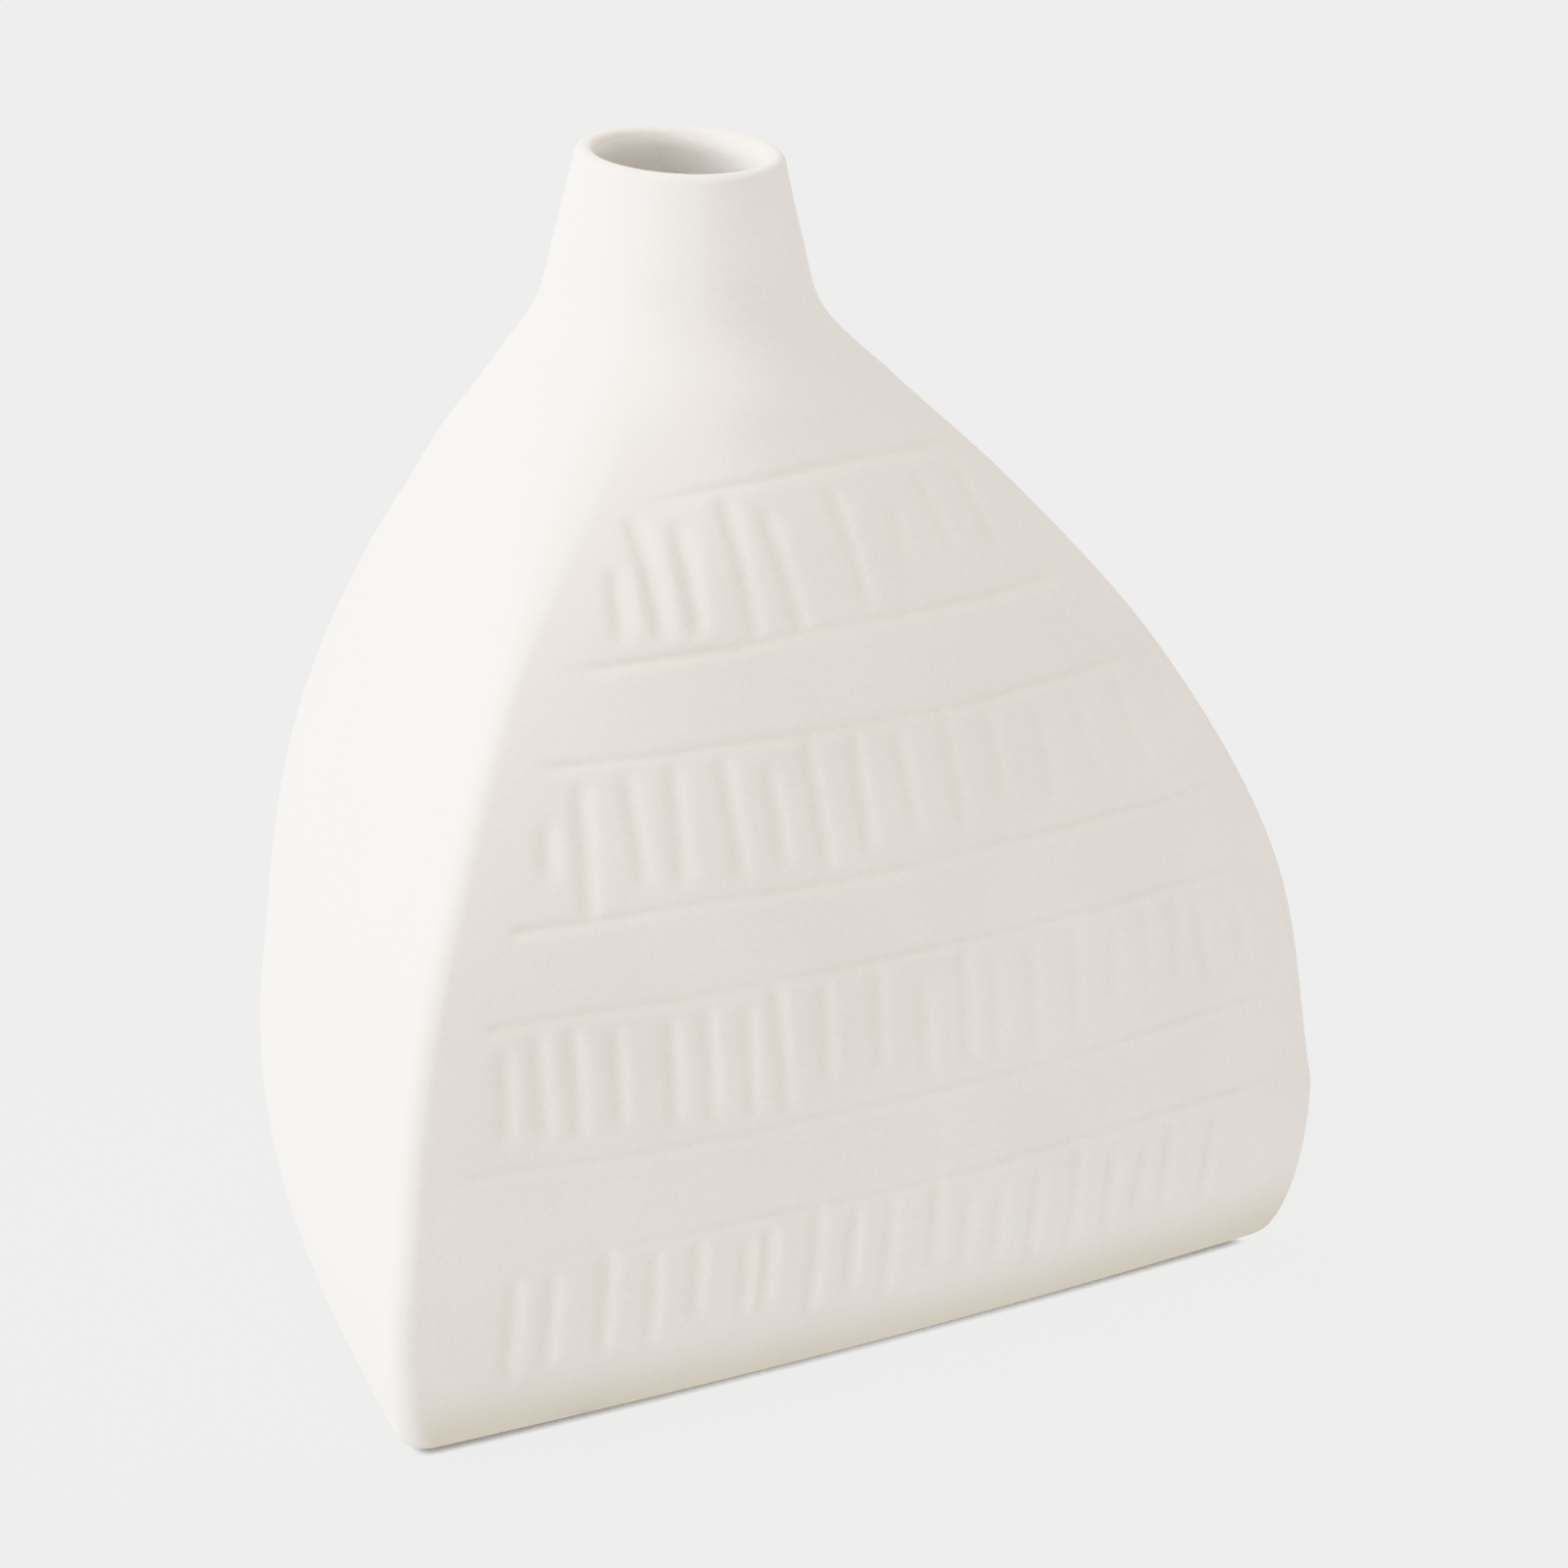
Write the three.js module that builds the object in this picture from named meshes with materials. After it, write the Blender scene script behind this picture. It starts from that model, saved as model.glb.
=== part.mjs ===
// A three-sided ceramic bud vase with a round neck, standing on three felt pads.
// Millimetres, +Z up. The origin is on the neck's axis, in the plane that the pads rest on.
// The front face looks along -Y. One of the three upright ridges is straight behind, along +Y.

import * as THREE from 'three';

// Overall sizes. A ridge size is the distance from the axis out to each of the three ridges.
// Roundness says how far the three faces between them bow out: 0 is flat, 1 makes a round section.
// The foot's edge, where the faces turn under into the base, is rounded by footEdge.
const height = 152;
const footRidge = 79;
const footRoundness = 0.025;
const footEdge = 2;
const bellyHeight = 23;
const bellyRidge = 87;
const bellyRoundness = 0.155;

// Neck and lip. The ridges fade out at the neck's foot, and above it the neck is round.
const neckLength = 21;
const neckFootRidge = 19;
const neckFootRoundness = 0.89;
const neckRadius = 16;
const lipRadius = 13.7;
const lipWall = 2.6;

// Walls of the slip-cast shell, and the rounding of its ridges, outside and inside.
const wall = 4;
const floorThickness = 5;
const outerRounding = 3;
const innerRounding = 1;

// From fadeHeight up to the neck's foot the ridges soften to a larger rounding.
const fadeHeight = 92;
const shoulderRounding = 12;

// Felt pads, stuck under the three corners of the base.
const padDiameter = 12;
const padThickness = 1;
const padEdgeMargin = 3;

// How finely the shell is divided.
const edgeSteps = 3;
const footSteps = 5;
const bodySteps = 24;
const lipSteps = 6;
const halfFaceAngles = [0, 10, 20, 30, 39, 47, 53, 57, 59];

const RIGHT_ANGLE = Math.PI / 2;
const SIDE_ANGLE = Math.PI * 2 / 3;
const HALF_SIDE = SIDE_ANGLE / 2;

// A section is three bows, all of one radius, whose meeting corners are rounded. `offset` is how
// far each bow's centre lies behind the axis, and `corner` how far out each rounding's centre is.
function makeSection(ridge, roundness, z) {
  const fade = THREE.MathUtils.smoothstep(z, fadeHeight, height - neckLength);
  const rounding = THREE.MathUtils.lerp(outerRounding, shoulderRounding, fade);
  const corner = ridge - rounding;
  const halfWidth = corner * Math.sin(HALF_SIDE);
  const flatFace = corner * Math.cos(HALF_SIDE);
  const rise = flatFace * Math.min(roundness, 1);
  const innerBow = (halfWidth ** 2 + rise ** 2) / (2 * rise);
  return {
    bow: innerBow + rounding,
    offset: innerBow - flatFace - rise,
    rounding,
    corner,
    z,
  };
}

// The same bows drawn in by an inset. The rounding shrinks with it, but not below a minimum.
function insetSection(section, inset, minRounding, z) {
  const bow = section.bow - inset;
  const rounding = Math.max(section.rounding - inset, minRounding);
  const reach = bow - rounding;
  const across = section.offset * Math.sin(HALF_SIDE);
  const corner = Math.sqrt(reach ** 2 - across ** 2) - section.offset * Math.cos(HALF_SIDE);
  return { bow, offset: section.offset, rounding, corner, z };
}

function roundSection(radius, z) {
  return { bow: radius, offset: 0, rounding: innerRounding, corner: radius - innerRounding, z };
}

function faceDistance(section) {
  return section.bow - section.offset;
}

// Distance from the axis to a section's outline, at an angle from the middle of a face.
function outlineRadius(section, angle) {
  const { bow, offset, rounding, corner } = section;
  const cornerX = corner * Math.cos(HALF_SIDE);
  const cornerY = corner * Math.sin(HALF_SIDE);
  const reach = Math.hypot(cornerX + offset, cornerY);
  const meetX = cornerX + rounding * (cornerX + offset) / reach;
  const meetY = cornerY + rounding * cornerY / reach;
  if (angle < Math.atan2(meetY, meetX)) {
    return Math.sqrt(bow ** 2 - (offset * Math.sin(angle)) ** 2) - offset * Math.cos(angle);
  }
  const across = corner * Math.sin(HALF_SIDE - angle);
  return corner * Math.cos(HALF_SIDE - angle) + Math.sqrt(rounding ** 2 - across ** 2);
}

// From the foot up to the belly the outline is a quarter of an ellipse, upright at the belly.
function lowerBody(z) {
  const share = (bellyHeight - z) / (bellyHeight - padThickness);
  const sine = Math.sqrt(1 - share ** 2);
  return makeSection(
    THREE.MathUtils.lerp(footRidge, bellyRidge, sine),
    THREE.MathUtils.lerp(footRoundness, bellyRoundness, sine),
    z,
  );
}

// Round the foot's edge the outline is drawn in by a quarter of a circle.
function footEdgeSection(step) {
  const angle = RIGHT_ANGLE * step / edgeSteps;
  const inset = footEdge * (1 - Math.sin(angle));
  const z = padThickness + footEdge * (1 - Math.cos(angle));
  return insetSection(lowerBody(z), inset, innerRounding, z);
}

// The shoulder falls away from the belly to the neck. `up` is how far up a station lies between
// them, `ridge` is what is left there of the ridge's fall, and the faces grow rounder.
const shoulderStations = [
  { up: 0.29, ridge: 0.914, roundness: 0.18 },
  { up: 0.56, ridge: 0.675, roundness: 0.235 },
  { up: 0.77, ridge: 0.382, roundness: 0.37 },
  { up: 0.91, ridge: 0.142, roundness: 0.52 },
];

// One smooth curve carries ridge, roundness and height together, from the belly to the lip.
function upperBodyCurve() {
  const neckFoot = height - neckLength;
  const lipFoot = height - lipWall / 2;
  const points = [new THREE.Vector3(bellyRidge, bellyRoundness, bellyHeight)];
  for (const { up, ridge, roundness } of shoulderStations) {
    points.push(new THREE.Vector3(
      THREE.MathUtils.lerp(neckFootRidge, bellyRidge, ridge),
      roundness,
      THREE.MathUtils.lerp(bellyHeight, neckFoot, up),
    ));
  }
  points.push(new THREE.Vector3(neckFootRidge, neckFootRoundness, neckFoot));
  points.push(new THREE.Vector3(neckRadius, 1, (neckFoot + lipFoot) / 2));
  points.push(new THREE.Vector3(lipRadius, 1, lipFoot));
  return new THREE.CatmullRomCurve3(points);
}

function outerSections() {
  const sections = [];
  for (let step = 0; step < edgeSteps; step += 1) {
    sections.push(footEdgeSection(step));
  }
  const firstAngle = Math.acos(1 - footEdge / (bellyHeight - padThickness));
  for (let step = 0; step < footSteps; step += 1) {
    const angle = THREE.MathUtils.lerp(firstAngle, RIGHT_ANGLE, step / footSteps);
    sections.push(lowerBody(bellyHeight - (bellyHeight - padThickness) * Math.cos(angle)));
  }
  const curve = upperBodyCurve();
  for (let step = 0; step <= bodySteps; step += 1) {
    const point = curve.getPoint(step / bodySteps);
    sections.push(makeSection(point.x, point.y, point.z));
  }
  return sections;
}

// The lip is half a circle in profile, from the outer wall over to the inner one.
function lipSections() {
  const half = lipWall / 2;
  const sections = [];
  for (let step = 1; step < lipSteps; step += 1) {
    const angle = Math.PI * step / lipSteps;
    const radius = lipRadius - half + half * Math.cos(angle);
    sections.push(roundSection(radius, height - half + half * Math.sin(angle)));
  }
  return sections;
}

// The wall thins from the neck's foot to the lip.
function wallAt(z) {
  const share = (height - z) / neckLength;
  return THREE.MathUtils.lerp(lipWall, wall, Math.min(share, 1));
}

// The inside of the shell follows the outside, one wall in, measured square to the wall,
// and is rounded into a flat floor.
function innerSections(outer) {
  const floor = padThickness + floorThickness;
  const sections = [];
  for (let index = outer.length - 1; index > 0; index -= 1) {
    const section = outer[index];
    const below = outer[index - 1];
    const above = outer[Math.min(index + 1, outer.length - 1)];
    const slope = (faceDistance(above) - faceDistance(below)) / (above.z - below.z);
    const inset = wallAt(section.z) * Math.hypot(1, slope);
    if (section.z > floor + wall / 2) {
      sections.push(insetSection(section, inset, innerRounding, section.z));
    }
  }
  sections.push(insetSection(sections[sections.length - 1], wall, innerRounding, floor));
  return sections;
}

// The angles round a section, from the middle of the front face: the same at every height,
// and closer together towards the ridges.
function anglesRound() {
  const halfFace = halfFaceAngles.map((degrees) => THREE.MathUtils.degToRad(degrees));
  const angles = [];
  for (let side = 0; side < 3; side += 1) {
    for (const fromMiddle of [...halfFace, HALF_SIDE]) {
      angles.push({ round: side * SIDE_ANGLE + fromMiddle, fromMiddle });
    }
    for (const fromMiddle of halfFace.slice(1).reverse()) {
      angles.push({ round: (side + 1) * SIDE_ANGLE - fromMiddle, fromMiddle });
    }
  }
  return angles;
}

// A closed shell: rings of points up the outside, over the lip and down the inside,
// with a flat underside and a flat inner floor.
function shellGeometry(sections) {
  const angles = anglesRound();
  const count = angles.length;
  const positions = [];
  const triangles = [];
  for (const section of sections) {
    for (const { round, fromMiddle } of angles) {
      const radius = outlineRadius(section, fromMiddle);
      positions.push(radius * Math.sin(round), -radius * Math.cos(round), section.z);
    }
  }
  const underside = sections.length * count;
  const innerFloor = underside + 1;
  positions.push(0, 0, sections[0].z);
  positions.push(0, 0, sections[sections.length - 1].z);
  for (let step = 0; step < count; step += 1) {
    const next = (step + 1) % count;
    for (let ring = 0; ring < sections.length - 1; ring += 1) {
      const low = ring * count;
      const high = low + count;
      triangles.push(low + step, low + next, high + next);
      triangles.push(low + step, high + next, high + step);
    }
    const last = (sections.length - 1) * count;
    triangles.push(underside, next, step);
    triangles.push(innerFloor, last + step, last + next);
  }
  const geometry = new THREE.BufferGeometry();
  geometry.setAttribute('position', new THREE.Float32BufferAttribute(positions, 3));
  geometry.setIndex(triangles);
  geometry.computeVertexNormals();
  return geometry;
}

function vaseBody(material) {
  const outer = outerSections();
  const sections = [...outer, ...lipSections(), ...innerSections(outer)];
  const mesh = new THREE.Mesh(shellGeometry(sections), material);
  mesh.name = 'vase_body';
  return mesh;
}

// Each pad lies under a corner of the flat underside, and keeps at least its margin from the two
// edges that meet there.
function baseFeltPad(name, direction, material) {
  const padRadius = padDiameter / 2;
  const fromEdges = padRadius + padEdgeMargin + footEdge;
  const fromCorner = fromEdges / Math.sin(RIGHT_ANGLE - HALF_SIDE);
  const distance = footRidge - fromCorner;
  const geometry = new THREE.CylinderGeometry(padRadius, padRadius, padThickness, 24);
  geometry.rotateX(RIGHT_ANGLE);
  const mesh = new THREE.Mesh(geometry, material);
  mesh.name = name;
  mesh.position.set(distance * Math.sin(direction), -distance * Math.cos(direction), padThickness / 2);
  return mesh;
}

const ceramic = new THREE.MeshStandardMaterial({ color: 0xe9e7e4, roughness: 0.72, metalness: 0 });
const felt = new THREE.MeshStandardMaterial({ color: 0xcfcac2, roughness: 0.95, metalness: 0 });

const vase = new THREE.Group();
vase.add(vaseBody(ceramic));
vase.add(baseFeltPad('base_felt_pad_right', HALF_SIDE, felt));
vase.add(baseFeltPad('base_felt_pad_back', Math.PI, felt));
vase.add(baseFeltPad('base_felt_pad_left', -HALF_SIDE, felt));

export default vase;
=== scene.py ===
"""A three-sided ceramic bud vase with a hand-pressed pattern on its front face, on three felt pads.

Metres, +Z up, in the CAD model's frame: the origin is on the neck's axis, in the plane that the
pads rest on, and the front face looks along -Y.
"""
import bpy
import math
import numpy as np
from mathutils import Matrix, Vector


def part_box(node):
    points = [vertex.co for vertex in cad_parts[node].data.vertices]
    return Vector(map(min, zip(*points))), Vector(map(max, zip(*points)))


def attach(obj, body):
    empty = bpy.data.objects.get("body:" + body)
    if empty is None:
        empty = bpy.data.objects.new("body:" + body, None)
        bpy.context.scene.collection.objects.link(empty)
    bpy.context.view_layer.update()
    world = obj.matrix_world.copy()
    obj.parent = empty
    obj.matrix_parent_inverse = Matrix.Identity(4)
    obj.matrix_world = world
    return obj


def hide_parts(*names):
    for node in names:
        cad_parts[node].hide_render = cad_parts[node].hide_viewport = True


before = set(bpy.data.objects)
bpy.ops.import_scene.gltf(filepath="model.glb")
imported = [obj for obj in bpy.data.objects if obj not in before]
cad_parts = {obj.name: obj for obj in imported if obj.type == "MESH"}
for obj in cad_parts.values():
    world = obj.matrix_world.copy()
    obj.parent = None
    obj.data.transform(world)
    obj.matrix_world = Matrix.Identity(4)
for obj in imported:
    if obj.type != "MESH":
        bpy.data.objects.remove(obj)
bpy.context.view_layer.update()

MM = 0.001
HALF_SIDE = math.pi / 3
SIDE = 2 * HALF_SIDE

# The shell's driving sizes, as the CAD model has them.
BODY_LOW, BODY_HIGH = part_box("vase_body")
BASE_Z = BODY_LOW.z
HEIGHT = BODY_HIGH.z
FOOT_RIDGE, FOOT_ROUNDNESS, FOOT_EDGE = 79 * MM, 0.025, 2 * MM
BELLY_RIDGE, BELLY_ROUNDNESS, BELLY_Z = 87 * MM, 0.155, 23 * MM
NECK_LENGTH, NECK_FOOT_RIDGE, NECK_FOOT_ROUNDNESS = 21 * MM, 19 * MM, 0.89
NECK_RADIUS, LIP_RADIUS, LIP_WALL = 16 * MM, 13.7 * MM, 2.6 * MM
WALL, FLOOR_THICKNESS = 4 * MM, 5 * MM
OUTER_ROUNDING, INNER_ROUNDING = 3 * MM, 1 * MM
FADE_HEIGHT, SHOULDER_ROUNDING = 92 * MM, 12 * MM
SHOULDER_STATIONS = (
    (0.29, 0.914, 0.18),
    (0.56, 0.675, 0.235),
    (0.77, 0.382, 0.37),
    (0.91, 0.142, 0.52),
)

# The hand-finished lip isn't quite level: it is this much lower on one side, and higher opposite.
LIP_TILT, TILT_DIRECTION = 0.45 * MM, math.radians(52)

# How finely the shell is divided. Rows are finer within LINE_REACH of a pressed line. Columns are
# eased towards the ridges: 0 spaces them evenly, and 1 crowds them the most.
FRONT_COLUMNS, FRONT_EASE = 320, 0.35
SIDE_COLUMNS, SIDE_EASE = 56, 0.85
ROW_STEP, FINE_ROW_STEP = 0.9 * MM, 0.16 * MM
LINE_REACH = 1.7 * MM
EDGE_ROWS, LIP_ROWS, INNER_ROWS, FLOOR_EDGE_ROWS = 10, 17, 90, 8


# ---------------------------------------------------------------- the shell's sections

def lerp(start, end, share):
    return start + (end - start) * share


def smooth_step(low, high, value):
    share = np.clip((value - low) / (high - low), 0, 1)
    return share * share * (3 - 2 * share)


def centripetal_curve(points, steps=60):
    """Points along a smooth curve through the given points (Catmull-Rom, centripetal)."""
    points = np.array(points, float)
    points = np.vstack([2 * points[0] - points[1], points, 2 * points[-1] - points[-2]])
    curve = []
    for a, b, c, d in zip(points, points[1:], points[2:], points[3:]):
        first = math.sqrt(np.linalg.norm(b - a))
        middle = math.sqrt(np.linalg.norm(c - b))
        last = math.sqrt(np.linalg.norm(d - c))
        leave = ((b - a) / first - (c - a) / (first + middle) + (c - b) / middle) * middle
        arrive = ((c - b) / middle - (d - b) / (middle + last) + (d - c) / last) * middle
        t = np.linspace(0, 1, steps, endpoint=False)[:, None]
        curve.append(
            (2 * t**3 - 3 * t**2 + 1) * b + (t**3 - 2 * t**2 + t) * leave
            + (3 * t**2 - 2 * t**3) * c + (t**3 - t**2) * arrive
        )
    return np.vstack([*curve, points[-2]])


def body_outline():
    """Ridge distance, roundness and height, from the foot up to the lip."""
    angle = np.linspace(0, math.pi / 2, 60, endpoint=False)
    lower = np.column_stack([
        lerp(FOOT_RIDGE, BELLY_RIDGE, np.sin(angle)),
        lerp(FOOT_ROUNDNESS, BELLY_ROUNDNESS, np.sin(angle)),
        BELLY_Z - (BELLY_Z - BASE_Z) * np.cos(angle),
    ])
    neck_foot = HEIGHT - NECK_LENGTH
    lip_foot = HEIGHT - LIP_WALL / 2
    stations = [(BELLY_RIDGE / MM, BELLY_ROUNDNESS, BELLY_Z / MM)]
    for up, ridge, roundness in SHOULDER_STATIONS:
        ridge_distance = lerp(NECK_FOOT_RIDGE, BELLY_RIDGE, ridge)
        stations.append((ridge_distance / MM, roundness, lerp(BELLY_Z, neck_foot, up) / MM))
    stations.append((NECK_FOOT_RIDGE / MM, NECK_FOOT_ROUNDNESS, neck_foot / MM))
    stations.append((NECK_RADIUS / MM, 1, (neck_foot + lip_foot) / 2 / MM))
    stations.append((LIP_RADIUS / MM, 1, lip_foot / MM))
    upper = centripetal_curve(stations) * (MM, 1, MM)
    return np.vstack([lower, upper])


OUTLINE = body_outline()


def make_section(z):
    """The three bows and rounded corners of the outside at a height: (bow radius, how far its
    centre lies behind the axis, corner rounding, how far out the rounding's centre is)."""
    ridge = np.interp(z, OUTLINE[:, 2], OUTLINE[:, 0])
    roundness = np.interp(z, OUTLINE[:, 2], OUTLINE[:, 1])
    fade = smooth_step(FADE_HEIGHT, HEIGHT - NECK_LENGTH, z)
    rounding = lerp(OUTER_ROUNDING, SHOULDER_ROUNDING, fade)
    corner = ridge - rounding
    half_width = corner * math.sin(HALF_SIDE)
    flat_face = corner * math.cos(HALF_SIDE)
    rise = flat_face * min(roundness, 1)
    inner_bow = (half_width**2 + rise**2) / (2 * rise)
    return inner_bow + rounding, inner_bow - flat_face - rise, rounding, corner


def inset_section(section, inset):
    """The same bows drawn in. The rounding shrinks with them, but stays at least as large as the
    inside's own."""
    bow, offset = section[0] - inset, section[1]
    rounding = max(section[2] - inset, INNER_ROUNDING)
    reach = bow - rounding
    across = offset * math.sin(HALF_SIDE)
    corner = math.sqrt(reach**2 - across**2) - offset * math.cos(HALF_SIDE)
    return bow, offset, rounding, corner


def outside_section(z):
    """The outside's section, drawn in round the foot's edge."""
    drop = max(BASE_Z + FOOT_EDGE - z, 0)
    inset = FOOT_EDGE - math.sqrt(FOOT_EDGE**2 - drop**2)
    return inset_section(make_section(z), inset)


def outline_radius(section, angle):
    """Distance from the axis to the outline, at angles from the middle of a face."""
    bow, offset, rounding, corner = section
    corner_x, corner_y = corner * math.cos(HALF_SIDE), corner * math.sin(HALF_SIDE)
    reach = math.hypot(corner_x + offset, corner_y)
    meet_x = corner_x + rounding * (corner_x + offset) / reach
    meet_y = corner_y + rounding * corner_y / reach
    on_bow = np.sqrt(bow**2 - (offset * np.sin(angle))**2) - offset * np.cos(angle)
    across = corner * np.sin(HALF_SIDE - angle)
    root = np.sqrt(np.maximum(rounding**2 - across**2, 0))
    on_corner = corner * np.cos(HALF_SIDE - angle) + root
    return np.where(angle < math.atan2(meet_y, meet_x), on_bow, on_corner)


# ---------------------------------------------------------------- the pressed pattern

# Long lines across the front face: left end and right end, then the height at the left end, in
# the middle and at the right end, and how long the line takes to start, in mm.
LINES = (
    (-29, 30, 113.3, 115.8, 113.6, 16),
    (-41.5, 43, 96.5, 97.2, 96.2, 8),
    (-48, 51, 86.2, 85.4, 84.5, 4),
    (-56.5, 61, 67.9, 67.3, 66.7, 1.5),
    (-62, 63, 56.7, 56.5, 55.5, 1.5),
    (-67, 66, 38.5, 37.7, 37.4, 3),
    (-67.5, 67.5, 26.6, 26, 25.9, 50),
)

# Upright strokes between them, pressed by hand: the middle's place across the face, the top, the
# bottom, and how far the bottom lies to the right of the top, in mm.
STROKES = (
    (-31, 107, 100, -1.5), (-26, 112.5, 99.5, -1), (-21, 111.5, 99.5, -1),
    (-13.5, 114, 97.5, -0.5), (-7.5, 112, 97.5, 1.5), (3.5, 113, 99.5, 1.5),
    (12, 109.5, 102.5, 0), (19.5, 112, 103, 2), (28, 112, 101, 3),

    (-49, 79.5, 73.5, -1), (-44, 83.5, 68, -2.5), (-36.5, 84, 71, -0.5), (-30.5, 84, 70.5, -1.5),
    (-22.5, 84.5, 70, 0), (-16, 82, 70.5, 0), (-9.5, 85, 69, 0), (-2.5, 84.5, 70, -0.5),
    (5, 83.5, 71.5, 0.5), (13, 85, 69.5, 0.5), (20.5, 84, 72.5, 0.5), (29, 83.5, 70.5, 0.5),
    (37, 83, 70.5, 2), (46, 82.5, 71.5, 2.5),

    (-60, 53, 42.5, -0.5), (-55, 55, 42, 0), (-50, 55, 41.5, 0), (-44, 54, 42, 0),
    (-36, 54, 41, 0), (-30.5, 54.5, 40.5, 0), (-24.5, 53.5, 40, 0), (-19.5, 56, 39.5, 1),
    (-12.5, 55, 42.5, 0), (-4, 56, 42.5, 0), (3.5, 51.5, 40, 0), (10.5, 55.5, 40.5, 0),
    (15.5, 52.5, 40, 0), (22, 53.5, 40, 0), (29.5, 55.5, 40, 0), (36.5, 52.5, 43.5, -1),
    (42.5, 54.5, 45.5, 0), (48.5, 54.5, 43.5, 0.5), (53.5, 52, 42, 1.5), (61, 50.5, 42, 1),

    (-60, 23.5, 11, 0), (-54.5, 23.5, 11.5, 0), (-46.5, 25.5, 12, 0), (-39.5, 24, 11.5, 0),
    (-33, 24.5, 14.5, 0), (-25.5, 23, 13, 0), (-22, 24, 13.5, 0), (-14.5, 25.5, 11, 0),
    (-8.5, 24, 13, 0), (-2.5, 24.5, 11, 0), (5, 25.5, 14, 0), (10.5, 21.5, 12, 0),
    (16, 21.5, 12, 0), (22.5, 22.5, 10.5, 0), (29.5, 25, 10.5, 0), (36, 22.5, 11.5, 0),
    (41.5, 22, 13.5, -1), (46.5, 23.5, 11.5, -1), (54.5, 23, 11.5, -1.5),
)

# A line's profile, and how far before its end it runs out. A line that starts within SHORT_START
# begins with a touch that is deeper by START_TOUCH.
LINE_WIDTH, LINE_DEPTH, LINE_END = 0.6 * MM, 0.28 * MM, 6 * MM
START_TOUCH, SHORT_START = 0.6, 1.5 * MM
LINE_SHARES = np.linspace(0, 1, 41)
LINE_PHASE = 1.7

# A line's wavering in height (a broad wave and a fine one, each with its size and pitch), and in
# pressure (the middle value, how far it swings, and the pitch).
BROAD_WAVER, FINE_WAVER = (0.12 * MM, 9 * MM), (0.08 * MM, 3.7 * MM)
LINE_PRESSURE, PRESSURE_SWING, PRESSURE_PITCH = 0.85, 0.15, 6.5 * MM

# A stroke's half widths on its two sides, its depth, how long its ends take to run out, and the
# range that its pressure is drawn from.
STROKE_LEFT, STROKE_RIGHT, STROKE_DEPTH = 1.3 * MM, 1.7 * MM, 0.52 * MM
STROKE_END = 3 * MM
STROKE_PRESSURES, HAND_SEED = (0.8, 1.15), 7

# How firmly strokes are pressed low down and high up, what share of that is left on the right, and
# how much of the painted rim highlight shows there. The pairs say where each change starts and
# ends.
FIRM_LOW, FIRM_HIGH, FIRM_HEIGHTS = 1.25, 0.72, (10 * MM, 88 * MM)
LOW_RIGHT, HIGH_RIGHT, RIM_RIGHT, FIRM_PLACES = 0.85, 0.5, 0.4, (-25 * MM, 35 * MM)

# Where a stroke's painted crease shade and painted rim highlight lie beside its middle, and how
# much of each a line has.
CREASE_WIDTH, CREASE_SHIFT, LINE_CREASE_SHADE = 1.0 * MM, -0.6 * MM, 0.5
RIM_WIDTH, RIM_SHIFT, LINE_RIM_HIGHLIGHT = 0.8 * MM, 1.4 * MM, 0.3


def bell(offset, width):
    return np.exp(-(offset / width)**2)


def line_heights(line):
    """Heights along a line, at LINE_SHARES of its length: an even arc through its three heights."""
    first, middle, last = (value * MM for value in line[2:5])
    side = 2 * LINE_SHARES - 1
    return middle + (last - first) / 2 * side + ((first + last) / 2 - middle) * side**2


def press_line(x, z, line, phase):
    """A long line scratched across the face from left to right. It wavers a little in height and
    pressure, and runs out. Returns how deep it is, and how strongly the painted shade in its crease
    and the painted highlight on its lower rim show."""
    left, right, start = line[0] * MM, line[1] * MM, line[5] * MM
    touch = START_TOUCH if start <= SHORT_START else 0
    share = np.clip((x - left) / (right - left), 0, 1)
    height = np.interp(share, LINE_SHARES, line_heights(line))
    waver = BROAD_WAVER[0] * np.sin(x / BROAD_WAVER[1] + phase)
    waver = waver + FINE_WAVER[0] * np.sin(x / FINE_WAVER[1] + 2 * phase)
    pressure = LINE_PRESSURE + PRESSURE_SWING * np.sin(x / PRESSURE_PITCH + 3 * phase)
    pressure = pressure * (1 + touch * bell(x - left - start, start))
    ends = smooth_step(left, left + start, x) * smooth_step(right, right - LINE_END, x)
    above = z - height - waver
    profile = pressure * ends * bell(above, LINE_WIDTH)
    # A painted highlight along the line's lower rim, which faces up.
    rim = LINE_RIM_HIGHLIGHT * pressure * ends * bell(above + 2 * LINE_WIDTH, LINE_WIDTH)
    return LINE_DEPTH * profile, LINE_CREASE_SHADE * profile, rim


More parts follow.
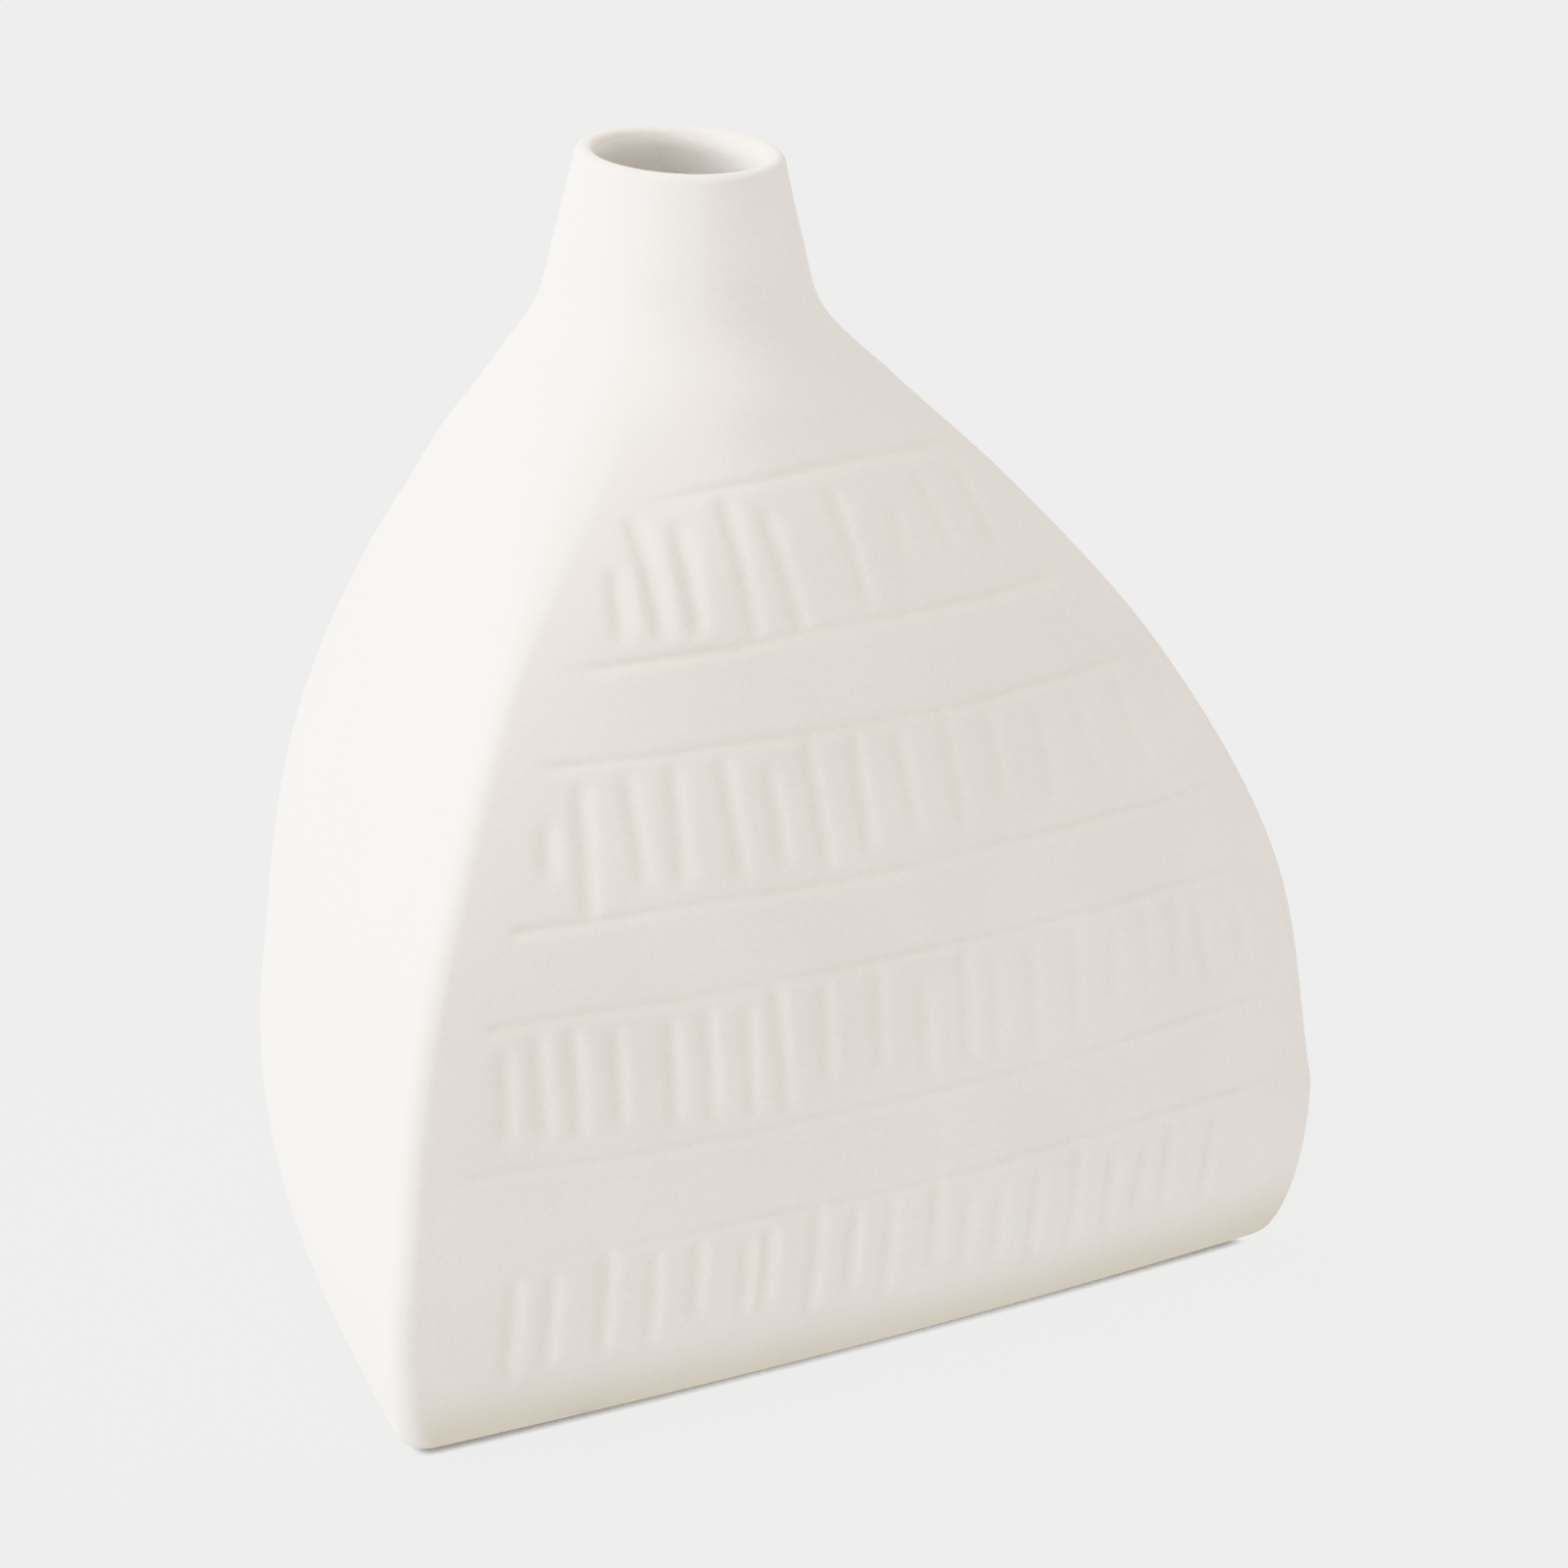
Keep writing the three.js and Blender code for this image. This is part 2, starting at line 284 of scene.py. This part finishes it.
def press_stroke(x, z, stroke, pressure):
    """An upright stroke pressed with the edge of a tool: steep on its left side, and running out
    more gently on its right. The strokes are firmer low down and on the left. Returns how deep
    it is, and how strongly the painted shade in its crease and the painted highlight on its right
    rim show."""
    place, top, bottom, lean = (value * MM for value in stroke)
    middle = place + lean * ((top + bottom) / 2 - z) / (top - bottom)
    along = smooth_step(bottom - STROKE_END / 2, bottom + STROKE_END / 2, z)
    along = along * smooth_step(top + STROKE_END / 2, top - STROKE_END / 2, z)
    off = x - middle
    depth = bell(off, np.where(off < 0, STROKE_LEFT, STROKE_RIGHT))
    # Painted shade along the left flank, which faces away from the key light.
    crease_shade = bell(off - CREASE_SHIFT, CREASE_WIDTH)
    upward = smooth_step(*FIRM_HEIGHTS, (top + bottom) / 2)
    rightward = smooth_step(*FIRM_PLACES, place)
    firmness = lerp(FIRM_LOW, FIRM_HIGH, upward)
    firmness = firmness * lerp(1, lerp(LOW_RIGHT, HIGH_RIGHT, upward), rightward)
    strength = firmness * pressure * along
    # A painted highlight on the right flank, which faces the key light.
    rim = strength * bell(off - RIM_SHIFT, RIM_WIDTH) * lerp(1, RIM_RIGHT, rightward)
    return STROKE_DEPTH * strength * depth, strength * crease_shade, rim


def press_pattern(x, z):
    """How deep the pattern is at places across (x) and up (z) the front face, and how strongly
    the painted shade in its creases and the painted highlight on its rims show there."""
    hand = np.random.default_rng(HAND_SEED)
    marks = [press_line(x, z, line, LINE_PHASE * number) for number, line in enumerate(LINES)]
    marks += [press_stroke(x, z, stroke, hand.uniform(*STROKE_PRESSURES)) for stroke in STROKES]
    return [np.max(layer, axis=0) for layer in zip(*marks)]


# ---------------------------------------------------------------- the shell's mesh

def column_angles():
    """Angles round the shell from the middle of the front face, and each one's angle from the
    middle of its own face. The front face is divided more finely, and all faces more finely
    towards the ridges."""
    rounds, own = [], []
    for side in range(3):
        count, ease = (FRONT_COLUMNS, FRONT_EASE) if side == 0 else (SIDE_COLUMNS, SIDE_EASE)
        share = np.arange(count) / count * 2 - 1
        even = HALF_SIDE * share
        eased = HALF_SIDE * np.sin(share * math.pi / 2)
        angle = lerp(even, eased, ease)
        rounds.append(side * SIDE + angle)
        own.append(np.abs(angle))
    return np.concatenate(rounds), np.concatenate(own)


def row_heights():
    """Heights of the outside's rows, which are close together round the foot's edge and where a
    line crosses the front face."""
    edge_turns = np.linspace(0, math.pi / 2, EDGE_ROWS)
    heights = list(BASE_Z + FOOT_EDGE * (1 - np.cos(edge_turns)))
    spans = [(min(line_heights(line)), max(line_heights(line))) for line in LINES]
    top = HEIGHT - LIP_WALL / 2
    while heights[-1] < top:
        z = heights[-1]
        fine = any(low - LINE_REACH < z < high + LINE_REACH for low, high in spans)
        heights.append(z + (FINE_ROW_STEP if fine else ROW_STEP))
    heights[-1] = top
    return np.array(heights)


def ring(section, z, angles, own):
    radius = outline_radius(section, own)
    heights = np.full(len(own), z)
    return np.column_stack([radius * np.sin(angles), -radius * np.cos(angles), heights])


def outer_rows(angles, own):
    """The outside, with the pattern pressed into its front face, and how strongly the pattern's
    painted crease shade and painted rim highlight show."""
    heights = row_heights()
    rows = np.array([ring(outside_section(z), z, angles, own) for z in heights])
    along = np.roll(rows, -1, axis=1) - np.roll(rows, 1, axis=1)
    up = np.gradient(rows, axis=0)
    normals = np.cross(along, up)
    normals /= np.linalg.norm(normals, axis=2, keepdims=True)
    on_front = np.abs(angles) <= HALF_SIDE
    pattern = press_pattern(rows[:, :, 0], rows[:, :, 2])
    depth, crease_shade, rim = (layer * on_front for layer in pattern)
    return rows - normals * depth[:, :, None], crease_shade, rim


def lip_rows(angles, own):
    """Half a circle in profile, from the outside over to the inside."""
    half = LIP_WALL / 2
    rows = []
    for turn in np.linspace(0, math.pi, LIP_ROWS)[1:-1]:
        radius = LIP_RADIUS - half + half * math.cos(turn)
        section = (radius, 0, INNER_ROUNDING, radius - INNER_ROUNDING)
        rows.append(ring(section, HEIGHT - half + half * math.sin(turn), angles, own))
    return np.array(rows)


def inner_rows(angles, own):
    """The inside, one wall in from the outside, rounded into a flat floor."""
    floor = BASE_Z + FLOOR_THICKNESS
    heights = np.linspace(HEIGHT - LIP_WALL / 2, floor + WALL / 2, INNER_ROWS)
    rows = []
    for z in heights:
        low, high = make_section(z - MM / 2), make_section(min(z + MM / 2, HEIGHT))
        slope = ((high[0] - high[1]) - (low[0] - low[1])) / MM
        wall = lerp(LIP_WALL, WALL, min((HEIGHT - z) / NECK_LENGTH, 1))
        section = inset_section(make_section(z), wall * math.hypot(1, slope))
        rows.append(ring(section, z, angles, own))
    for turn in np.linspace(0, math.pi / 2, FLOOR_EDGE_ROWS)[1:]:
        rounded = inset_section(section, WALL * (1 - math.cos(turn)))
        rows.append(ring(rounded, floor + WALL / 2 * (1 - math.sin(turn)), angles, own))
    return np.array(rows)


def tilt_lip(rows, angles):
    """The rings with the neck's top tilted a little."""
    share = smooth_step(HEIGHT - NECK_LENGTH, HEIGHT - LIP_WALL, rows[:, :, 2])
    tilted = rows.copy()
    tilted[:, :, 2] -= LIP_TILT * share * np.cos(angles - TILT_DIRECTION)
    return tilted


def closed_shell(rows):
    """Vertices and faces of a shell from its rings, closed at the underside and inner floor."""
    count, columns = rows.shape[:2]
    vertices = rows.reshape(-1, 3)
    here = np.arange(columns)
    after = (here + 1) % columns
    faces = []
    for row in range(count - 1):
        low, high = row * columns, (row + 1) * columns
        faces.append(np.column_stack([low + here, low + after, high + after, high + here]))
    quads = np.vstack(faces)
    centres = np.array([[0, 0, rows[0, 0, 2]], [0, 0, rows[-1, 0, 2]]])
    vertices = np.vstack([vertices, centres])
    last = (count - 1) * columns
    underside = np.column_stack([np.full(columns, len(vertices) - 2), after, here])
    floor = np.column_stack([np.full(columns, len(vertices) - 1), last + here, last + after])
    return vertices, quads, np.vstack([underside, floor])


def make_object(name, vertices, *face_groups):
    mesh = bpy.data.meshes.new(name)
    faces = [face for group in face_groups for face in np.asarray(group).tolist()]
    mesh.from_pydata(np.asarray(vertices).tolist(), [], faces)
    mesh.update()
    mesh.shade_smooth()
    piece = bpy.data.objects.new(name, mesh)
    bpy.context.scene.collection.objects.link(piece)
    return piece


def add_attribute(piece, name, values, first=0):
    """Store one number a vertex, from the vertex `first` on, and 0 on all others."""
    whole = np.zeros(len(piece.data.vertices))
    whole[first:first + values.size] = np.clip(values.ravel(), 0, 1)
    attribute = piece.data.attributes.new(name, "FLOAT", "POINT")
    attribute.data.foreach_set("value", whole)


def vase_shell():
    angles, own = column_angles()
    outside, crease_shade, rim = outer_rows(angles, own)
    lip = lip_rows(angles, own)
    inside = inner_rows(angles, own)
    rows = tilt_lip(np.concatenate([outside, lip, inside]), angles)
    vertices, quads, caps = closed_shell(rows)
    piece = make_object("vase_shell", vertices, quads, caps)
    # How strongly the painted crease shade and the painted rim highlight show.
    add_attribute(piece, "crease_shade", crease_shade)
    add_attribute(piece, "rim", rim)
    first_inside = (len(outside) + len(lip)) * len(angles)
    # Where painted light makes the inside paler.
    add_attribute(piece, "inside", np.ones(len(vertices) - first_inside), first_inside)
    return piece


# ---------------------------------------------------------------- felt pads

PAD_RIM, PAD_COLUMNS = 0.25 * MM, 96
PAD_RINGS = 0.25, 0.5, 0.75
PAD_RIM_TURNS = np.linspace(0, math.pi / 2, 5)

# How uneven a pad's rim is, and how many waves each of the two that make it so has.
PAD_FUZZ, PAD_WAVES = 0.006, (17, 7)


def felt_pad(node):
    """A disc of pressed felt with a slightly rounded, uneven rim."""
    low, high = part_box(node)
    centre = (low + high) / 2
    radius, thickness = (high.x - low.x) / 2, high.z - low.z
    rim = PAD_RIM
    profile = [(radius * share, 0) for share in PAD_RINGS]
    profile += [(radius - rim + rim * math.sin(turn), rim - rim * math.cos(turn))
                for turn in PAD_RIM_TURNS]
    profile += [(radius - rim + rim * math.cos(turn), thickness - rim + rim * math.sin(turn))
                for turn in PAD_RIM_TURNS]
    profile += [(radius * share, thickness) for share in reversed(PAD_RINGS)]
    turns = np.linspace(0, 2 * math.pi, PAD_COLUMNS, endpoint=False)
    waves = np.sin(turns * PAD_WAVES[0]) * np.sin(turns * PAD_WAVES[1] + 1)
    fuzz = 1 - PAD_FUZZ * (1 + waves)
    rows = np.array([
        np.column_stack([
            centre.x + out * fuzz * np.cos(turns),
            centre.y + out * fuzz * np.sin(turns),
            np.full(len(turns), low.z + up),
        ])
        for out, up in profile
    ])
    vertices, quads, caps = closed_shell(rows)
    vertices[-2:, 0] += centre.x
    vertices[-2:, 1] += centre.y
    return make_object(node.replace("base_", "soft_"), vertices, quads, caps)


# ---------------------------------------------------------------- materials

# Noises: scale in cells a metre, detail, and roughness.
MOTTLE_NOISE, GRAIN_NOISE, SHEEN_NOISE = (45, 3, 0.5), (1600, 2, 0.5), (300, 3, 0.5)
BUMP_NOISE, FIBRE_NOISE = (1300, 4, 0.6), (2600, 6, 0.75)

# The glaze's mottling and grain: each stop is a noise value and its colour.
GLAZE = (0.3, (0.805, 0.778, 0.752)), (0.7, (0.83, 0.806, 0.782))
GRAIN = (0.25, (0.97, 0.97, 0.97)), (0.6, (1, 1, 1))
GLAZE_ROUGHNESS, GLAZE_SPECULAR, GLAZE_BUMP = (0.58, 0.74), 0.35, (0.25, 0.05 * MM)

# What the glaze's colour is multiplied by in places: painted shade near the foot and in the
# creases, a painted highlight on the rims, and painted light inside.
FOOT_SHADE = (0.82, 0.79, 0.68)
CREASE_SHADE = (0.98, 0.97, 0.945)
RIM_HIGHLIGHT = (1.07, 1.07, 1.07)
INSIDE_LIGHT = (1.1, 1.1, 1.09)

# The painted shade near the foot, on the sides that face away from the key light: where it starts
# and is full, in height and in how far a surface faces right.
FOOT_SHADE_HEIGHTS, FOOT_SHADE_FACINGS = (BASE_Z + 12 * MM, BASE_Z - 1 * MM), (-0.6, -0.1)
BARE_CLAY, BARE_HEIGHTS = (0.70, 0.665, 0.61), (BASE_Z, BASE_Z + 0.4 * MM)

FELT = (0.3, (0.36, 0.345, 0.32)), (0.72, (0.62, 0.60, 0.57))
FELT_ROUGHNESS, FELT_SHEEN, FELT_BUMP = 0.95, 0.35, (0.8, 0.15 * MM)


def new_material(name):
    material = bpy.data.materials.new(name)
    material.use_nodes = True
    tree = material.node_tree
    return material, tree, tree.nodes["Principled BSDF"]


def noise(tree, scale, detail, roughness):
    """Noise in the object's own space."""
    place = tree.nodes.new("ShaderNodeTexCoord")
    texture = tree.nodes.new("ShaderNodeTexNoise")
    texture.inputs["Scale"].default_value = scale
    texture.inputs["Detail"].default_value = detail
    texture.inputs["Roughness"].default_value = roughness
    tree.links.new(place.outputs["Object"], texture.inputs["Vector"])
    return texture.outputs["Fac"]


def ramp(tree, value, stops):
    """A colour that runs from the first stop to the last: each is a value and its colour."""
    node = tree.nodes.new("ShaderNodeValToRGB")
    node.color_ramp.elements[0].position = stops[0][0]
    node.color_ramp.elements[0].color = (*stops[0][1], 1)
    node.color_ramp.elements[1].position = stops[-1][0]
    node.color_ramp.elements[1].color = (*stops[-1][1], 1)
    tree.links.new(value, node.inputs["Fac"])
    return node.outputs["Color"]


def mix(tree, factor, first, second, mode="MIX"):
    node = tree.nodes.new("ShaderNodeMix")
    node.data_type = "RGBA"
    node.blend_type = mode
    sockets = {"Factor": factor, "A": first, "B": second}
    for name, value in sockets.items():
        socket = next(s for s in node.inputs if s.name == name and s.enabled)
        if isinstance(value, bpy.types.NodeSocket):
            tree.links.new(value, socket)
        elif name == "Factor":
            socket.default_value = value
        else:
            socket.default_value = (*value, 1)
    return next(s for s in node.outputs if s.enabled)


def remap(tree, value, low, high):
    node = tree.nodes.new("ShaderNodeMapRange")
    node.inputs["To Min"].default_value = low
    node.inputs["To Max"].default_value = high
    tree.links.new(value, node.inputs["Value"])
    return node.outputs["Result"]


def bump(tree, shader, height, strength, distance):
    node = tree.nodes.new("ShaderNodeBump")
    node.inputs["Strength"].default_value = strength
    node.inputs["Distance"].default_value = distance
    tree.links.new(height, node.inputs["Height"])
    tree.links.new(node.outputs["Normal"], shader.inputs["Normal"])


def height_share(tree, start, full):
    """0 at the height where something starts and 1 where it is full, in the object's own space.
    It may start at the top."""
    place = tree.nodes.new("ShaderNodeTexCoord")
    parts = tree.nodes.new("ShaderNodeSeparateXYZ")
    share = tree.nodes.new("ShaderNodeMapRange")
    share.interpolation_type = "SMOOTHSTEP"
    share.inputs["From Min"].default_value = start
    share.inputs["From Max"].default_value = full
    tree.links.new(place.outputs["Object"], parts.inputs["Vector"])
    tree.links.new(parts.outputs["Z"], share.inputs["Value"])
    return share.outputs["Result"]


def attribute(tree, name):
    node = tree.nodes.new("ShaderNodeAttribute")
    node.attribute_name = name
    return node.outputs["Fac"]


def multiply(tree, first, second):
    node = tree.nodes.new("ShaderNodeMath")
    node.operation = "MULTIPLY"
    tree.links.new(first, node.inputs[0])
    tree.links.new(second, node.inputs[1])
    return node.outputs["Value"]


def facing_away_from_key(tree):
    """1 where the surface faces forward or right, away from the key light, and 0 where it faces
    left. It keeps the painted foot shade off the lit side.
    """
    place = tree.nodes.new("ShaderNodeTexCoord")
    parts = tree.nodes.new("ShaderNodeSeparateXYZ")
    tree.links.new(place.outputs["Normal"], parts.inputs["Vector"])
    share = tree.nodes.new("ShaderNodeMapRange")
    share.inputs["From Min"].default_value = FOOT_SHADE_FACINGS[0]
    share.inputs["From Max"].default_value = FOOT_SHADE_FACINGS[1]
    tree.links.new(parts.outputs["X"], share.inputs["Value"])
    return share.outputs["Result"]


def ceramic_material():
    """Matte white glaze with soft mottling and a fine grain. Painted shade makes it a trace darker
    in the creases, and a painted highlight makes it lighter on the rims. Painted shade darkens it
    near the foot, away from the key light, painted light makes it paler inside, and it is left off
    the underside."""
    material, tree, shader = new_material("matte_white_ceramic")
    mottle = ramp(tree, noise(tree, *MOTTLE_NOISE), GLAZE)
    grain = ramp(tree, noise(tree, *GRAIN_NOISE), GRAIN)
    body = mix(tree, 1.0, mottle, grain, "MULTIPLY")
    # Painted shade near the foot, where little light comes back from the floor.
    foot_shade_height = height_share(tree, *FOOT_SHADE_HEIGHTS)
    # Painted shade in the creases and near the foot, a painted highlight on the rims, and painted
    # light inside.
    tones = (
        (attribute(tree, "crease_shade"), CREASE_SHADE),
        (attribute(tree, "rim"), RIM_HIGHLIGHT),
        (attribute(tree, "inside"), INSIDE_LIGHT),
        (multiply(tree, foot_shade_height, facing_away_from_key(tree)), FOOT_SHADE),
    )
    for share, tone in tones:
        body = mix(tree, share, body, mix(tree, 1.0, body, tone, "MULTIPLY"))
    above_base = height_share(tree, *BARE_HEIGHTS)
    body = mix(tree, above_base, BARE_CLAY, body)
    tree.links.new(body, shader.inputs["Base Color"])
    rough = remap(tree, noise(tree, *SHEEN_NOISE), *GLAZE_ROUGHNESS)
    tree.links.new(rough, shader.inputs["Roughness"])
    shader.inputs["Specular IOR Level"].default_value = GLAZE_SPECULAR
    bump(tree, shader, noise(tree, *BUMP_NOISE), *GLAZE_BUMP)
    return material


def felt_material():
    """Pressed grey felt: matted short fibres."""
    material, tree, shader = new_material("pressed_felt")
    fibres = noise(tree, *FIBRE_NOISE)
    tree.links.new(ramp(tree, fibres, FELT), shader.inputs["Base Color"])
    shader.inputs["Roughness"].default_value = FELT_ROUGHNESS
    shader.inputs["Sheen Weight"].default_value = FELT_SHEEN
    bump(tree, shader, fibres, *FELT_BUMP)
    return material


def floor_material():
    """A pale studio floor that glows, so that it stays even, with a painted contact shadow that
    darkens its glow only where something almost touches it. A little paint takes what shadow there
    is."""
    material = bpy.data.materials.new("pale_floor")
    material.use_nodes = True
    tree = material.node_tree
    tree.nodes.clear()
    contact = tree.nodes.new("ShaderNodeAmbientOcclusion")
    contact.inputs["Distance"].default_value = CONTACT_REACH
    contact.samples = CONTACT_SAMPLES
    # Painted contact shadow in the floor's glow.
    tone = ramp(tree, contact.outputs["AO"], CONTACT_SHADOW)
    glow = tree.nodes.new("ShaderNodeEmission")
    glow.inputs["Strength"].default_value = FLOOR_GLOW
    tree.links.new(tone, glow.inputs["Color"])
    paint = tree.nodes.new("ShaderNodeBsdfDiffuse")
    paint.inputs["Color"].default_value = (FLOOR_PAINT, FLOOR_PAINT, FLOOR_PAINT, 1)
    both = tree.nodes.new("ShaderNodeAddShader")
    output = tree.nodes.new("ShaderNodeOutputMaterial")
    tree.links.new(glow.outputs["Emission"], both.inputs[0])
    tree.links.new(paint.outputs["BSDF"], both.inputs[1])
    tree.links.new(both.outputs["Shader"], output.inputs["Surface"])
    return material


# ---------------------------------------------------------------- stage, light and camera

FLOOR_SIZE, FLOOR_GLOW, FLOOR_PAINT = 24, 0.91, 0.05

# The painted contact shadow, a dark line where something almost touches the floor: each stop is how
# open a place there is (1 is fully open) and what the floor's glow is multiplied by.
CONTACT_REACH, CONTACT_SAMPLES = 2 * MM, 16
CONTACT_SHADOW = (0.26, (0.22, 0.19, 0.16)), (0.36, (1, 1, 1))

WORLD_COLOUR, WORLD_STRENGTH = (1.0, 0.965, 0.935), 0.93
KEY_AZIMUTH, KEY_ELEVATION, KEY_DISTANCE = -122, 30, 1.1
KEY_SIZE, KEY_POWER, KEY_COLOUR = 1.3, 16, (0.94, 0.97, 1)


def from_axis(azimuth, elevation, distance):
    """A place round the vase: azimuth 0 is straight in front, and negative is to the left."""
    a, e = math.radians(azimuth), math.radians(elevation)
    return distance * Vector((math.sin(a) * math.cos(e), -math.cos(a) * math.cos(e), math.sin(e)))


def stage_floor():
    half = FLOOR_SIZE / 2
    corners = [(-half, -half, 0), (half, -half, 0), (half, half, 0), (-half, half, 0)]
    floor = make_object("studio_floor", corners, [(0, 1, 2, 3)])
    floor.data.materials.append(floor_material())


def world_light():
    world = bpy.data.worlds.new("studio")
    world.use_nodes = True
    background = world.node_tree.nodes["Background"]
    background.inputs["Color"].default_value = (*WORLD_COLOUR, 1)
    background.inputs["Strength"].default_value = WORLD_STRENGTH
    bpy.context.scene.world = world


def key_light():
    middle = Vector((0, 0, HEIGHT / 2))
    lamp = bpy.data.lights.new("key", "AREA")
    lamp.shape = "DISK"
    lamp.size = KEY_SIZE
    lamp.energy = KEY_POWER
    lamp.color = KEY_COLOUR
    key = bpy.data.objects.new("key", lamp)
    key.location = middle + from_axis(KEY_AZIMUTH, KEY_ELEVATION, KEY_DISTANCE)
    key.rotation_mode = "QUATERNION"
    key.rotation_quaternion = (middle - key.location).to_track_quat("-Z", "Y")
    bpy.context.scene.collection.objects.link(key)


# The camera's place round the vase, in degrees, and its distance, in heights of the vase. Then how
# far it turns aside, tilts further down and rolls, in degrees.
CAMERA_AZIMUTH, CAMERA_ELEVATION, CAMERA_DISTANCE = -37.87, 17.59, 9.51
CAMERA_YAW, CAMERA_TILT, CAMERA_ROLL = 0.628, 0.356, 1.24
CAMERA_LENS, SENSOR_WIDTH, CLIP_START, CLIP_END = 254, 36, 0.05, 60


def camera():
    """A long lens, a little to the left of the front face and above it, very slightly rolled."""
    offset = from_axis(CAMERA_AZIMUTH, CAMERA_ELEVATION, CAMERA_DISTANCE * HEIGHT)
    place = Vector((0, 0, HEIGHT / 2)) + offset
    heading = math.radians(CAMERA_AZIMUTH - CAMERA_YAW)
    down = math.radians(CAMERA_ELEVATION + CAMERA_TILT)
    level = Vector((-math.sin(heading), math.cos(heading), 0))
    forward = level * math.cos(down) + Vector((0, 0, -math.sin(down)))
    right = forward.cross(Vector((0, 0, 1))).normalized()
    up = right.cross(forward)
    roll = math.radians(CAMERA_ROLL)
    turned_right = right * math.cos(roll) + up * math.sin(roll)
    turned_up = up * math.cos(roll) - right * math.sin(roll)
    data = bpy.data.cameras.new("camera")
    data.lens = CAMERA_LENS
    data.sensor_width = SENSOR_WIDTH
    data.clip_start = CLIP_START
    data.clip_end = CLIP_END
    eye = bpy.data.objects.new("camera", data)
    turn = Matrix((turned_right, turned_up, -forward)).transposed().to_4x4()
    eye.matrix_world = Matrix.Translation(place) @ turn
    bpy.context.scene.collection.objects.link(eye)
    bpy.context.scene.camera = eye


# ---------------------------------------------------------------- the scene

camera()
world_light()
key_light()
stage_floor()
bpy.context.scene.view_settings.view_transform = "Khronos PBR Neutral"

shell = vase_shell()
shell.data.materials.append(ceramic_material())
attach(shell, "root")
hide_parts("vase_body")

felt = felt_material()
for node in ("base_felt_pad_right", "base_felt_pad_back", "base_felt_pad_left"):
    pad = felt_pad(node)
    pad.data.materials.append(felt)
    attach(pad, "root")
    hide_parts(node)
